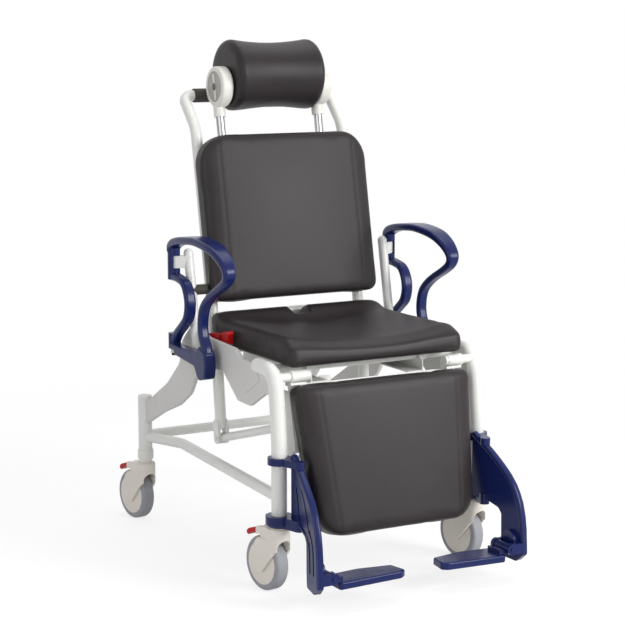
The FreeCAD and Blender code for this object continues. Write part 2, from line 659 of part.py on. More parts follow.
def headrest_roll():
    """Waisted neck roll with rounded ends and a flat lower back, bored for the tilt axle."""
    end = Vector(ROLL_HALF, 0, ROLL_END_R - 16)
    knee = Vector(ROLL_HALF - 3.6, 0, ROLL_END_R - 5)
    rim = Vector(ROLL_HALF - 14, 0, ROLL_END_R)
    half = [Part.makeLine(Vector(ROLL_HALF, 0, 0), end), Part.Arc(end, knee, rim).toShape()]
    waist = Part.Arc(rim, Vector(0, 0, ROLL_WAIST_R), Vector(-rim.x, 0, rim.z)).toShape()
    axis = Part.makeLine(Vector(-ROLL_HALF, 0, 0), Vector(ROLL_HALF, 0, 0))
    edges = [axis] + half + [waist] + [mirrored(edge) for edge in half[::-1]]
    roll = Part.Face(Part.Wire(edges)).revolve(Vector(0, 0, 0), Vector(1, 0, 0), 360)
    roll = moved(roll, 0, TILT_Y, ROLL_Z)
    rise = tan(radians(ROLL_CUT))
    back = TILT_Y + ROLL_END_R * 2
    low = TILT_Z - ROLL_END_R * 2
    roll = roll.cut(plate([(TILT_Y + ROLL_FLAT, low, 0), (back, low, 0),
                           (back, TILT_Z + (back - TILT_Y) * rise, 0),
                           (TILT_Y + ROLL_FLAT, TILT_Z + ROLL_FLAT * rise, 0)],
                          -ROLL_HALF - 1, ROLL_HALF + 1))
    return on_back(roll.cut(across(TILT_R + RUN, -ROLL_HALF - 1, ROLL_HALF + 1, TILT_Y, TILT_Z)))


# Gas spring, drawn along the line between its two eyes
GAS_TUBE_R = 11.0
GAS_TUBE_END = 240.0
GAS_BORE_START = 88.0
GAS_ROD_R = 5.0
GAS_ROD_START = 150.0
GAS_HEAD_R = 12.5
GAS_HEAD_HOLE = 8.6   # leaves room for the upper pin over the whole recline
gas_len = hypot(GAS_HEAD[0] - GAS_FOOT[0], GAS_HEAD[1] - GAS_FOOT[1])


def gas_point(along):
    share = along / gas_len
    return Vector(GAS_X, GAS_FOOT[0] + (GAS_HEAD[0] - GAS_FOOT[0]) * share,
                  GAS_FOOT[1] + (GAS_HEAD[1] - GAS_FOOT[1]) * share)


def gas_cylinder():
    x0 = GAS_X - GAS_EYE_W / 2
    x1 = GAS_X + GAS_EYE_W / 2
    body = join([across(GAS_EYE_R, x0, x1, *GAS_FOOT), rod(gas_point(0), gas_point(30), 5.5),
                 rod(gas_point(GAS_EYE_R + 12), gas_point(GAS_TUBE_END), GAS_TUBE_R)])
    body = body.cut(rod(gas_point(GAS_BORE_START), gas_point(GAS_TUBE_END + 1), GAS_ROD_R + RUN))
    return body.cut(across(GAS_PIN_R + RUN, x0 - 1, x1 + 1, *GAS_FOOT))


def gas_rod():
    x0 = GAS_X - GAS_EYE_W / 2
    x1 = GAS_X + GAS_EYE_W / 2
    stick = rod(gas_point(GAS_ROD_START), gas_point(gas_len), GAS_ROD_R)
    body = join([across(GAS_HEAD_R, x0, x1, *GAS_HEAD), stick])
    return body.cut(across(GAS_HEAD_HOLE, x0 - 1, x1 + 1, *GAS_HEAD))


# Release lever on the sitter's right, its pin turning in the side plate
RELEASE_Y = 108.0
RELEASE_Z = 522.0
RELEASE_PIN_R = 5.0
RELEASE_X1 = plate_in - 6.5
RELEASE_X0 = RELEASE_X1 - 16


def release_lever():
    grip = plate([(RELEASE_Y + 12, RELEASE_Z + 10, 8), (62, 540, 40), (12, 551, 5), (5, 548, 4), (8, 520, 4),
                  (60, 516, 40), (RELEASE_Y + 6, RELEASE_Z - 10, 8)], RELEASE_X0, RELEASE_X1)
    thumb = plate([(48, 538, 3), (14, 545, 3), (16, 527, 3), (44, 524, 3)], RELEASE_X1 - 3, RELEASE_X1 + 1)
    pin = across(RELEASE_PIN_R, RELEASE_X1 - 1, plate_in + PLATE_T / 2, RELEASE_Y, RELEASE_Z)
    return mirrored(grip.cut(thumb).fuse(pin).removeSplitter())


def save_back():
    save("back_frame_left", [back_frame(False)])
    save("back_frame_right", [mirrored(back_frame(True))])
    save("push_bar", [push_bar()])
    save("push_grip", [push_grip()])
    save("back_cross_tube", [back_cross_tube()])
    save("back_board", [back_board()])
    save("rod_sockets", [rod_socket(), mirrored(rod_socket())])
    save("headrest_rods", [headrest_rod(), mirrored(headrest_rod())])
    save("headrest_bracket", [headrest_bracket()])
    save("headrest_knobs", [headrest_knob(), mirrored(headrest_knob())])
    save("headrest_roll", [headrest_roll()])
    save("gas_cylinder", [gas_cylinder()])
    save("gas_rod", [gas_rod()])
    save("release_lever", [release_lever()])


# Legrest. Its own frame has Z up the leaning board and sits on the knee hinge.
LEG_LEAN = 11.4
LEG_PAD_FRONT = -45.0
LEG_PAD_T = 65.0
LEG_PAD_Z0 = -363.0
LEG_PAD_Z1 = -20.0
LEG_PAD_GAP = 15.0     # between the pad and the legs
LEG_PAD_X = HALF_TRACK - LEG_R - LEG_PAD_GAP
LEG_PAD_LOW_X = LEG_PAD_X - 25
LEG_BOARD_X = LEG_PAD_X - 9
LEG_BOARD_LOW_X = LEG_PAD_LOW_X - 27
HINGE_KNUCKLE_R = 14.0
HINGE_KNUCKLE_X = (BACK_X - 17, BACK_X + 23)
DRIVE_Y = -225.0
DRIVE_Z = 370.0
DRIVE_PIN_R = 4.5
DRIVE_SLACK = 5.8     # play of the drive pin in the link eye
DRIVE_WALL = 6.0
BRACKET_X0 = LEG_BOARD_X - 7
drive_hole_r = DRIVE_PIN_R + DRIVE_SLACK
drive_eye_r = drive_hole_r + DRIVE_WALL


def on_legrest(shape):
    return tilted(shape, LEG_LEAN, KNEE_Y, KNEE_Z)


def legrest_frame():
    """Board with hinge knuckles, side brackets and the pins of the drive links."""
    y0 = LEG_PAD_FRONT + LEG_PAD_T
    y1 = y0 + BOARD_T
    knuckle0, knuckle1 = HINGE_KNUCKLE_X
    half = [block(0, LEG_BOARD_X, y0, y1, -170, LEG_PAD_Z1 + 2),
            block(0, LEG_BOARD_LOW_X, y0, y1, LEG_PAD_Z0 + 23, -168),
            across(HINGE_KNUCKLE_R, knuckle0, knuckle1, 0, 0),
            block(knuckle0, knuckle1, 0, y1, LEG_PAD_Z1 + 0.5, 4),
            plate([(y0, -36, 0), (66, -26, 10), (80, -40, 10), (60, -178, 10), (44, -186, 8), (y0, -158, 0)],
                  BRACKET_X0, LEG_BOARD_X)]
    board = on_legrest(join(half + [mirrored(piece) for piece in half]))
    pin = across(DRIVE_PIN_R, eye_in - SIDE_GAP - 5, BRACKET_X0 + 1, DRIVE_Y, DRIVE_Z)
    head = across(drive_hole_r + 3, eye_in - SIDE_GAP - 6, eye_in - SIDE_GAP, DRIVE_Y, DRIVE_Z)
    whole = join([board, pin, head, mirrored(pin), mirrored(head)])
    return whole.cut(across(KNEE_R + RUN, -knuckle1 - 1, knuckle1 + 1, KNEE_Y, KNEE_Z))


def link_rod():
    """Rod from the lever arm to the legrest, with a wide eye at the legrest end."""
    start = Vector(BACK_X, LINK_Y, LINK_Z)
    end = Vector(BACK_X, DRIVE_Y, DRIVE_Z)
    neck = (end - start).normalize() * LINK_NECK
    body = join([across(LINK_EYE_R, eye_in, eye_out, LINK_Y, LINK_Z),
                 across(drive_eye_r, eye_in, eye_out, DRIVE_Y, DRIVE_Z),
                 rod(start, end, LINK_NECK_R), rod(start + neck, end - neck, LINK_R)])
    body = body.cut(across(LINK_PIN_R + RUN, eye_in - 1, eye_out + 1, LINK_Y, LINK_Z))
    return body.cut(across(drive_hole_r, eye_in - 1, eye_out + 1, DRIVE_Y, DRIVE_Z))


# Armrests: moulded limbs lofted through rounded sections
def rounded_section(centre, direction, width, depth):
    """Rounded rectangle across X and across the direction of a limb."""
    side = Vector(1, 0, 0)
    normal = side.cross(direction).normalize()
    corners = [(-1, -1), (1, -1), (1, 1), (-1, 1)]
    points = [centre + side * (a * width / 2) + normal * (b * depth / 2) for a, b in corners]
    return rounded_wire(points, [min(width, depth) * 0.42] * 4)


def limb(x, rows, steps=3):
    """Smooth limb in a plane of constant X; rows are y, z, width and depth along it."""
    ends = [[2 * a - b for a, b in zip(rows[0], rows[1])], [2 * a - b for a, b in zip(rows[-1], rows[-2])]]
    knots = [ends[0]] + [list(row) for row in rows] + [ends[1]]
    stations = []
    for i in range(1, len(knots) - 2):
        last = i == len(knots) - 3
        for k in range(steps + (1 if last else 0)):
            t = k / steps
            stations.append([0.5 * (2 * b + (c - a) * t + (2 * a - 5 * b + 4 * c - d) * t * t
                                    + (3 * b - a - 3 * c + d) * t ** 3)
                             for a, b, c, d in zip(*knots[i - 1:i + 3])])
    wires = []
    for i, (y, z, width, depth) in enumerate(stations):
        before = stations[max(i - 1, 0)]
        after = stations[min(i + 1, len(stations) - 1)]
        direction = Vector(0, after[0] - before[0], after[1] - before[1]).normalize()
        wires.append(rounded_section(Vector(x, y, z), direction, width, depth))
    return Part.makeLoft(wires, True, False)


ARM_KNUCKLE_R = 15.0
ARM_SPINE_IN = 7.0    # the spine stands this far outside the hinge line
ARM_FOOT_W = 30.0
ARM_TOP_LINE = [(188, 722, 31, 16), (184, 735, 36, 17), (166, 746, 42, 18), (132, 754, 47, 18),
                (88, 759, 50, 18), (38, 761, 50, 18), (-27, 753, 48, 19), (-66, 739, 42, 20),
                (-92, 721, 36, 20), (-103, 703, 32, 19), (-95, 685, 28, 18), (-67, 667, 26, 17),
                (-33, 650, 26, 16), (-5, 633, 26, 16), (18, 613, 26, 16), (29, 590, 26, 16),
                (32, 562, 26, 17), (26, 537, 26, 18), (14, 516, 26, 20), (8, 496, 26, 22)]
ARM_REAR_LINE = [(183, 664, 26, 20), (155, 662, 26, 17), (122, 653, 27, 16), (104, 630, 28, 16),
                 (99, 602, 28, 16), (108, 574, 28, 16), (132, 553, 27, 16), (162, 531, 26, 18),
                 (182, 510, 26, 22)]


def armrest():
    """Armrest loop that swings outwards on two vertical pins."""
    top = BLOCK_Z1 + KNUCKLE_GAP
    low = BLOCK_Z0 - KNUCKLE_GAP
    foot = LUG_Z1 + KNUCKLE_GAP
    x0 = ARM_X - ARM_FOOT_W / 2
    x1 = ARM_X + ARM_FOOT_W / 2
    base = plate([(-3, 506, 10), (-8, 474, 8), (-2, 446, 8), (30, 438, 8), (40, 446, 6), (54, 468, 8),
                  (ARM_Y - 11, 480, 6), (ARM_Y, LUG_Z1 + 2, 0), (ARM_Y, 504, 0), (130, 501, 6),
                  (52, 504, 16), (26, 520, 8)], x0, x1)
    base = base.makeFillet(5, [edge for edge in base.Edges if edge.BoundBox.XLength < 1e-3])
    under = block(x0 - 1, x1 + 1, ARM_Y - ARM_KNUCKLE_R - LUG_CLEAR, ARM_Y + 60, LUG_Z0 - 20, foot)
    knuckles = [upright(ARM_KNUCKLE_R, ARM_X, ARM_Y, top, top + KNUCKLE_H),
                upright(ARM_KNUCKLE_R, ARM_X, ARM_Y, low - KNUCKLE_LOW_H, low),
                upright(ARM_KNUCKLE_R, ARM_X, ARM_Y, foot, foot + FOOT_KNUCKLE_H)]
    spine = upright(ARM_KNUCKLE_R, ARM_X, ARM_Y, low - KNUCKLE_LOW_H, top + KNUCKLE_H)
    spine = spine.common(block(ARM_X + ARM_SPINE_IN, x1 + 5, ARM_Y - 20, ARM_Y + 11, 0, top + KNUCKLE_H))
    whole = limb(ARM_X, ARM_TOP_LINE).fuse(limb(ARM_X, ARM_REAR_LINE)).fuse(base.cut(under))
    keep_out = upright(ARM_EYE_R + 1.5, ARM_X, ARM_Y, BLOCK_Z0 - KNUCKLE_GAP, BLOCK_Z1 + KNUCKLE_GAP)
    whole = join([whole] + knuckles + [spine]).cut(keep_out)
    bore = upright(ARM_PIN_R + RUN, ARM_X, ARM_Y, LUG_Z0 - 20, top + KNUCKLE_H - 1)
    return whole.cut(bore)


# Footrests: blades clamped round the front legs, and flip-up footplates
FOOT_X = HALF_TRACK + 5    # blade at its front tip
FOOT_TIP = -462.0
FOOT_TOE = 9.4        # the blade turns outward toward the tip
BLADE_T = 14.0
RIM_T = 16.0
RIM_W = 13.0
RING_R = 31.0
RING_GAP = 1.5        # over the castor fork
RING_LOW = (FORK_TOP + RING_GAP, FORK_TOP + RING_GAP + 25)
RING_HIGH = (296.0, 312.0)
RING_FOOT_R = 9.0
BRACKET_Y = -330.0
BRACKET_W = 22.0
HINGE_X = FOOT_X - 34
HINGE_Z = 79.0
HINGE_PIN_R = 5.0
HINGE_LUG_R = 13.0
HINGE_BOSS_R = 23.0
LUG_FRONT = (-462.0, -450.0)
LUG_REAR = (-402.0, -392.0)
FOOTPLATE_L = 186.0
FOOTPLATE_T = 17.0
FOOTPLATE_DROP = 12.0
FOOTPLATE_TILT = 1.5
GROOVE_W = 7.0
BLADE_FRONT = [(-298, 316), (-325, 300), (-355, 281), (-384, 260), (-408, 240), (-426, 220), (-438, 200),
               (-447, 180), (-455, 150), (-459, 120), (-462, 63)]
BLADE_REAR = [(-393, 48), (-391, 80), (-390, 146), (-380, 158), (-352, 166), (-292, 170), (-292, 300)]


def lengthways(radius, y0, y1):
    """Round bar along the footplate hinge."""
    return rod(Vector(HINGE_X, y0, HINGE_Z), Vector(HINGE_X, y1, HINGE_Z), radius)


def toed(shape):
    """Turns a piece of the blade's own plane outward about the tip."""
    shape.rotate(Vector(FOOT_X, FOOT_TIP, 0), Vector(0, 0, 1), FOOT_TOE)
    return shape


def blade_x(y):
    """Middle of the turned blade at a depth."""
    return FOOT_X - (y - FOOT_TIP) * tan(radians(FOOT_TOE))


def footrest():
    """Curved blade with a thick front rim, two clamp rings and the footplate hinge."""
    front = [(y, z, 40) for y, z in BLADE_FRONT]
    front[0] = BLADE_FRONT[0] + (6,)
    front[-1] = BLADE_FRONT[-1] + (12,)
    rear = [(y, z, 8) for y, z in BLADE_REAR]
    blade = plate(front + [(-440, 44, 10)] + rear, FOOT_X - BLADE_T / 2, FOOT_X + BLADE_T / 2)
    rim = limb(FOOT_X, [(y + RIM_W / 2, z, RIM_T, RIM_W) for y, z in BLADE_FRONT])
    blade = blade.fuse(rim)
    outer = FOOT_X + BLADE_T / 2
    heights = (84, 110, 136, 162, 186, 212, 238, 256)
    for row in (0.22, 0.62):
        sides = [(blade_y(z, row) - GROOVE_W / 2, z, 0) for z in heights]
        sides += [(blade_y(z, row) + GROOVE_W / 2, z, 0) for z in heights[::-1]]
        blade = blade.cut(plate(sides, outer - 2, outer + 1))
        for z in heights[:-1]:
            y = blade_y(z + 2, row)
            blade = blade.cut(stadium(y, z + 2, blade_y(z + 14, row), z + 14, 4, outer - 5, outer + 1))
    ring = upright(RING_R, HALF_TRACK, FRONT_Y, *RING_LOW)
    ring = ring.makeFillet(RING_FOOT_R, [edge for edge in ring.Edges if edge.BoundBox.ZMax < RING_LOW[0] + 1])
    pieces = [ring, upright(RING_R - 5, HALF_TRACK, FRONT_Y, *RING_HIGH)]
    for z0, z1 in (RING_LOW, RING_HIGH):
        pieces.append(slab(HALF_TRACK, FRONT_Y, blade_x(BRACKET_Y), BRACKET_Y, BRACKET_W, z0, z1))
    for y0, y1 in (LUG_FRONT, LUG_REAR):
        pieces.append(lengthways(HINGE_LUG_R, y0, y1))
        pieces.append(block(HINGE_X, blade_x(y1), y0, y1, HINGE_Z - 12, HINGE_Z + 12))
    pieces.append(lengthways(HINGE_PIN_R, FOOT_FRONT, LUG_REAR[1] + 2))
    pieces.append(across(HINGE_BOSS_R, HINGE_X + HINGE_LUG_R, blade_x(-424), -424, 92))
    whole = join([toed(blade)] + pieces)
    return whole.cut(upright(LEG_R + RUN, HALF_TRACK, FRONT_Y, RING_LOW[0] - 1, RING_HIGH[1] + 1))


def blade_y(z, share):
    """Depth position across the blade at a height, from the front rim to the rear edge."""
    edges = []
    for line in (BLADE_FRONT[::-1], BLADE_REAR):
        for (y0, z0), (y1, z1) in zip(line, line[1:]):
            if z0 <= z <= z1:
                edges.append(y0 + (y1 - y0) * (z - z0) / (z1 - z0))
                break
    return edges[0] + RIM_W + (edges[1] - edges[0] - RIM_W) * share


def footplate():
    """Flip-up plate with a hinge barrel."""
    top = HINGE_Z - FOOTPLATE_DROP + 1
    tip = HINGE_X - FOOTPLATE_L
    root = HINGE_X - HINGE_LUG_R - 2
    outline = [(tip + 8, -404, 8), ((tip + root) / 2, -386, 60), (root, -388, 6), (root, -460, 8),
               (tip + 14, -460, 10), (tip, -450, 8)]
    points = [Vector(x, y, top - FOOTPLATE_T) for x, y, r in outline]
    tray = Part.Face(rounded_wire(points, [r for x, y, r in outline])).extrude(Vector(0, 0, FOOTPLATE_T))
    tray = tray.makeFillet(4, [edge for edge in tray.Edges if edge.BoundBox.ZLength < 1e-3])
    y0 = LUG_FRONT[1] + SIDE_GAP
    y1 = LUG_REAR[0] - SIDE_GAP
    barrel = lengthways(HINGE_LUG_R - 2, y0, y1)
    web = block(root - 13, HINGE_X, y0, y1, top - 3, HINGE_Z - 1)
    whole = join([tray, barrel, web]).cut(lengthways(HINGE_PIN_R + RUN, y0 - 1, y1 + 1))
    whole.rotate(Vector(HINGE_X, 0, HINGE_Z), Vector(0, 1, 0), FOOTPLATE_TILT)
    return whole


# Pads
BACK_PAD_T = 56.0
BACK_PAD_X = BACK_X + 27
BACK_PAD_Z0 = 138.0
BACK_PAD_Z1 = 540.0
PAD_ROWS = [(0.0, 5.0), (0.08, 2.0), (0.2, 0.4), (0.45, 0.0), (0.75, 0.8), (0.88, 2.6), (0.96, 6.0),
            (1.0, 11.5)]
CROWN_ROWS = [(1.025, 34.0), (1.05, 66.0), (1.06, 105.0)]
CHANNEL_R = 5.0
CHANNEL_DEPTH = 2.5
CHANNEL_IN = 45.0     # from the side of a pad to its channel
SEAT_X = plate_in - 28
SEAT_FRONT = -265.0
SEAT_REAR = 147.0
SEAT_RIM = 579.0
SEAT_MID = 567.0
SEAT_DISH = 18.0
NOTCH_FRONT = 95.0
NOTCH_DEPTH = 22.0


def inset_outline(corners, distance):
    """Corners of a convex outline moved inwards."""
    count = len(corners)
    moved_corners = []
    for i in range(count):
        x, z = corners[i]
        ax, az = x - corners[i - 1][0], z - corners[i - 1][1]
        bx, bz = corners[(i + 1) % count][0] - x, corners[(i + 1) % count][1] - z
        la, lb = hypot(ax, az), hypot(bx, bz)
        na, nb = (-az / la, ax / la), (-bz / lb, bx / lb)
        scale = distance / (1 + na[0] * nb[0] + na[1] * nb[1])
        moved_corners.append((x + (na[0] + nb[0]) * scale, z + (na[1] + nb[1]) * scale))
    return moved_corners


def cushion(corners, radii, back, thick):
    """Pad with drawn-in sides, a rounded edge and a crowned front, lofted from back to front."""
    wires = []
    for depth, inset in [(share * thick, inset) for share, inset in PAD_ROWS + CROWN_ROWS]:
        points = [Vector(x, back - depth, z) for x, z in inset_outline(corners, inset)]
        wires.append(rounded_wire(points, [max(r - inset, 10) for r in radii]))
    sides = len(PAD_ROWS)
    return Part.makeLoft(wires[:sides], True, False).fuse(Part.makeLoft(wires[sides - 1:], True, True))


def channels(half, half_low, z0, z1, front):
    """Two long bars that press the channels into the front of a pad."""
    y = front - CHANNEL_R + CHANNEL_DEPTH
    bars = []
    for side in (-1, 1):
        low = Vector(side * (half_low - CHANNEL_IN), y, z0 - 5)
        high = Vector(side * (half - CHANNEL_IN), y, z1 + 5)
        bars.append(rod(low, high, CHANNEL_R))
    return bars


def back_pad():
    back = -TUBE_R - BOARD_T
    corners = [(-BACK_PAD_X, BACK_PAD_Z0), (BACK_PAD_X, BACK_PAD_Z0),
               (BACK_PAD_X, BACK_PAD_Z1), (-BACK_PAD_X, BACK_PAD_Z1)]
    pad = cushion(corners, [26, 26, 72, 72], back, BACK_PAD_T)
    for groove in channels(BACK_PAD_X, BACK_PAD_X, BACK_PAD_Z0, BACK_PAD_Z1, back - BACK_PAD_T):
        pad = pad.cut(groove)
    return on_back(pad)


def legrest_pad():
    back = LEG_PAD_FRONT + LEG_PAD_T
    corners = [(-LEG_PAD_LOW_X, LEG_PAD_Z0), (LEG_PAD_LOW_X, LEG_PAD_Z0),
               (LEG_PAD_X, LEG_PAD_Z1), (-LEG_PAD_X, LEG_PAD_Z1)]
    pad = cushion(corners, [62, 62, 20, 20], back, LEG_PAD_T)
    for groove in channels(LEG_PAD_X, LEG_PAD_LOW_X, LEG_PAD_Z0, LEG_PAD_Z1, LEG_PAD_FRONT):
        pad = pad.cut(groove)
    return on_legrest(pad)


def seat_section(x, inset, dish):
    """Outline of the seat in a plane of constant X."""
    rear = SEAT_REAR - inset
    front = SEAT_FRONT + inset
    top = SEAT_MID - inset - dish
    low = SEAT_BOTTOM + inset * 0.4
    rim = SEAT_RIM - inset
    high = top - low
    bend = high / (SEAT_MID - SEAT_BOTTOM)
    rows = [(rear - 3, low, 8 * bend), (front + 8, low, 8 * bend), (front, low + high * 0.25, 12 * bend),
            (front + 5, low + high * 0.74, 14 * bend), (front + 44, top - 1, 44), (-40, top - 2, 200),
            (rear - 70, top - 1, 120), (rear - 32, rim, 24), (rear, rim - 2, 9)]
    return rounded_wire([Vector(x, y, z) for y, z, r in rows], [r for y, z, r in rows])


def seat_pad():
    """Dished seat with a rolled front edge and a notch in its rear rim."""
    half = [(0, 0, 1), (SEAT_X / 3, 0, 0.85), (SEAT_X * 2 / 3, 0, 0.4), (SEAT_X - 16, 0.3, 0),
            (SEAT_X - 7, 2, 0), (SEAT_X - 2.5, 5.5, 0), (SEAT_X, 11, 0)]
    rows = [(-x, inset, share) for x, inset, share in half[:0:-1]] + half
    pad = Part.makeLoft([seat_section(x, inset, SEAT_DISH * share) for x, inset, share in rows], True, False)
    sides = [(-33, 8), (33, 8), (16, -NOTCH_DEPTH), (-16, -NOTCH_DEPTH)]
    points = [Vector(x, NOTCH_FRONT, SEAT_RIM + rise) for x, rise in sides]
    notch = Part.Face(rounded_wire(points, [0, 0, 6, 6])).extrude(Vector(0, SEAT_REAR - NOTCH_FRONT + 10, 0))
    return pad.cut(notch)


def save_soft_and_side_pieces():
    save("legrest_frame", [legrest_frame()])
    save_pair("link_rod", link_rod())
    save_pair("armrest", armrest())
    save_pair("footrest", footrest())
    save_pair("footplate", footplate())
    save("back_pad", [back_pad()])
    save("legrest_pad", [legrest_pad()])
    save("seat_pad", [seat_pad()])


save_castors()
save_base()
save_back()
save_soft_and_side_pieces()
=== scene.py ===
from math import cos, radians, sin, tan

import bpy
import numpy as np
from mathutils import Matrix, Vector


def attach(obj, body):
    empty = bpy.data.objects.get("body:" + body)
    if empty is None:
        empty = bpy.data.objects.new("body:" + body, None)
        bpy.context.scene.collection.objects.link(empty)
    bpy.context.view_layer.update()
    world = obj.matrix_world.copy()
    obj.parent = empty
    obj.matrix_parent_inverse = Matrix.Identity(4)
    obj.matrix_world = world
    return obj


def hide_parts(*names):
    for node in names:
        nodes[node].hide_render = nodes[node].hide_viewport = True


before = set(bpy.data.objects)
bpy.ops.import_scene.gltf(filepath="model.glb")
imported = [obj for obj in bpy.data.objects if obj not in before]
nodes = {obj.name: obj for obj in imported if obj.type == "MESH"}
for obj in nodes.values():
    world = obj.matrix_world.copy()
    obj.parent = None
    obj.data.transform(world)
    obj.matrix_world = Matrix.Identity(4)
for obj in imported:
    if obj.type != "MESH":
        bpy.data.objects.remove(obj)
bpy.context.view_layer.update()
scene = bpy.context.scene
scene.view_settings.view_transform = "Standard"


# Chassis: bent steel tubes welded into two sides and joined by cross tubes, powder coated white.
# The coat has a fine orange peel, a little unevenness in tone, and scuffs low down near the floor.
class Tone:
    """One socket of the finish being mixed; operators on it add Math nodes."""

    tree = None

    def __init__(self, socket):
        self.socket = socket

    @classmethod
    def node(cls, kind, settings=None, sockets=None, out=0):
        """Adds a node: its settings first, then the values or links of its sockets."""
        made = cls.tree.nodes.new("ShaderNode" + kind)
        for key, value in (settings or {}).items():
            setattr(made, key, value)
        for key, value in (sockets or {}).items():
            if isinstance(value, cls):
                cls.tree.links.new(value.socket, made.inputs[key])
            else:
                made.inputs[key].default_value = value
        return cls(made.outputs[out]) if made.outputs else None

    def maths(self, operation, a, b):
        return self.node("Math", {"operation": operation}, {0: a, 1: b})

    def __add__(self, other):
        return self.maths("ADD", self, other)

    def __mul__(self, other):
        return self.maths("MULTIPLY", self, other)

    __radd__ = __add__
    __rmul__ = __mul__


def place():
    """Object coordinates, which are the chair's own metres."""
    return Tone.node("TexCoord", out="Object")


def height():
    """Metres above the floor."""
    return Tone.node("SeparateXYZ", None, {0: place()}, "Z")


def between(value, low, high):
    """0 below low, 1 above high and straight between."""
    return Tone.node("MapRange", None, {"Value": value, "From Min": low, "From Max": high})


def mottle(scale, detail=2.0, rough=0.5, stretch=(1.0, 1.0, 1.0)):
    """Noise from 0 to 1 with scale crests to the metre, drawn out along the axes of a small stretch."""
    spot = Tone.node("Mapping", None, {"Vector": place(), "Scale": stretch})
    return Tone.node("TexNoise", None, {"Vector": spot, "Scale": scale, "Detail": detail, "Roughness": rough})


def cells(scale):
    """Distance to the middle of the nearest cell, scale cells to the metre."""
    return Tone.node("TexVoronoi", None, {"Vector": place(), "Scale": scale})


def blend(share, first, second):
    """Colour from first at share 0 to second at share 1."""
    return Tone.node("Mix", {"data_type": "RGBA"}, {0: share, 6: first, 7: second}, 2)


def relief(rise, depth):
    """Normal of a surface raised by rise times depth in metres."""
    return Tone.node("Bump", None, {"Height": rise, "Distance": depth})


def screen(red, green, blue):
    """Linear colour of an 8-bit screen colour."""
    return tuple(((c / 255 + 0.055) / 1.055) ** 2.4 for c in (red, green, blue)) + (1.0,)


def finish(name, pattern, **constants):
    """Procedural finish: pattern() gives the sockets that vary, the constants are set on the shader."""
    made = bpy.data.materials.new(name)
    made.use_nodes = True
    Tone.tree = made.node_tree
    shader = made.node_tree.nodes["Principled BSDF"]
    for key, value in constants.items():
        shader.inputs[key.replace("_", " ")].default_value = value
    for key, value in pattern().items():
        Tone.tree.links.new(value.socket, shader.inputs[key])
    return made


def dress(material, *names):
    """Gives CAD nodes a finish; a name also stands for its sides and corners."""
    for name in names:
        for found, node in nodes.items():
            tail = found[len(name):]
            if found.startswith(name) and tail in ("", "_left", "_right", "_front_left", "_front_right",
                                                   "_rear_left", "_rear_right"):
                node.data.materials.clear()
                node.data.materials.append(material)


def powder_coat():
    peel = mottle(420.0, 2.0)
    drift = mottle(9.0, 3.0)
    scuff = between(mottle(60.0, 6.0, 0.7, (1.0, 1.0, 0.25)), 0.60, 0.72) * between(height(), 0.42, 0.15)
    tone = blend(drift, screen(226, 226, 221), screen(238, 238, 234))
    return {"Base Color": blend(scuff * 0.35, tone, screen(176, 172, 164)),
            "Roughness": 0.30 + peel * 0.08 + scuff * 0.22,
            "Normal": relief(peel, 0.00025)}


white_coat = finish("white_powder_coat", powder_coat, Coat_Weight=0.15, Coat_Roughness=0.2)
dress(white_coat, "front_leg", "rear_post", "lower_rail", "rear_cross_tube", "legrest_pins", "seat_frame")
dress(white_coat, "armrest_post", "back_frame", "push_bar", "back_cross_tube", "legrest_frame", "link_rod")
dress(white_coat, "gas_cylinder")


# Side plates: each moulded in one piece from pale grey plastic and fixed between leg and rear post.
# The mould leaves a fine matt grain; the lower edge of the strut carries a little dirt.
def moulded_grey():
    grain = cells(1500.0)
    drift = mottle(7.0, 3.0)
    dirt = between(mottle(45.0, 5.0, 0.65), 0.55, 0.75) * between(height(), 0.40, 0.26)
    tone = blend(drift, screen(206, 204, 201), screen(218, 216, 213))
    return {"Base Color": blend(dirt * 0.4, tone, screen(150, 146, 140)),
            "Roughness": 0.44 + grain * 0.12 + drift * 0.06,
            "Normal": relief(grain, 0.00012)}


grey_moulding = finish("grey_moulding", moulded_grey)
dress(grey_moulding, "side_plate")


# Castors: warm white nylon shells over closed hubs, each wheel with a solid grey rubber tyre.
# A red pedal sticks out behind; the tread is rubbed smooth and dusty where it meets the floor.
def nylon_shell():
    grain = cells(1900.0)
    drift = mottle(16.0, 3.0)
    tone = blend(drift, screen(228, 221, 211), screen(237, 231, 221))
    return {"Base Color": tone,
            "Roughness": 0.40 + grain * 0.10 + drift * 0.08,
            "Normal": relief(grain, 0.0001)}


def tread_rubber():
    grain = mottle(700.0, 3.0)
    dust = between(mottle(120.0, 5.0, 0.65), 0.50, 0.72)
    tone = blend(mottle(25.0, 2.0), screen(146, 147, 152), screen(160, 161, 166))
    return {"Base Color": blend(dust * 0.35, tone, screen(176, 174, 170)),
            "Roughness": 0.62 + dust * 0.2, "Normal": relief(grain, 0.0002)}


def red_moulding():
    grain = cells(1700.0)
    rub = between(mottle(240.0, 4.0, 0.6), 0.58, 0.70)
    tone = blend(mottle(30.0, 2.0), screen(180, 14, 16), screen(198, 22, 22))
    return {"Base Color": blend(rub * 0.25, tone, screen(160, 40, 36)),
            "Roughness": 0.34 + grain * 0.08 + rub * 0.12, "Normal": relief(grain, 0.00008)}


castor_shell = finish("castor_shell", nylon_shell)
dress(castor_shell, "castor_fork", "castor_hub", "bearing_collars")
tyre_rubber = finish("tyre_rubber", tread_rubber)
dress(tyre_rubber, "castor_tyre")
red_plastic = finish("red_plastic", red_moulding, Specular_IOR_Level=0.2)
dress(red_plastic, "castor_pedal", "release_lever")


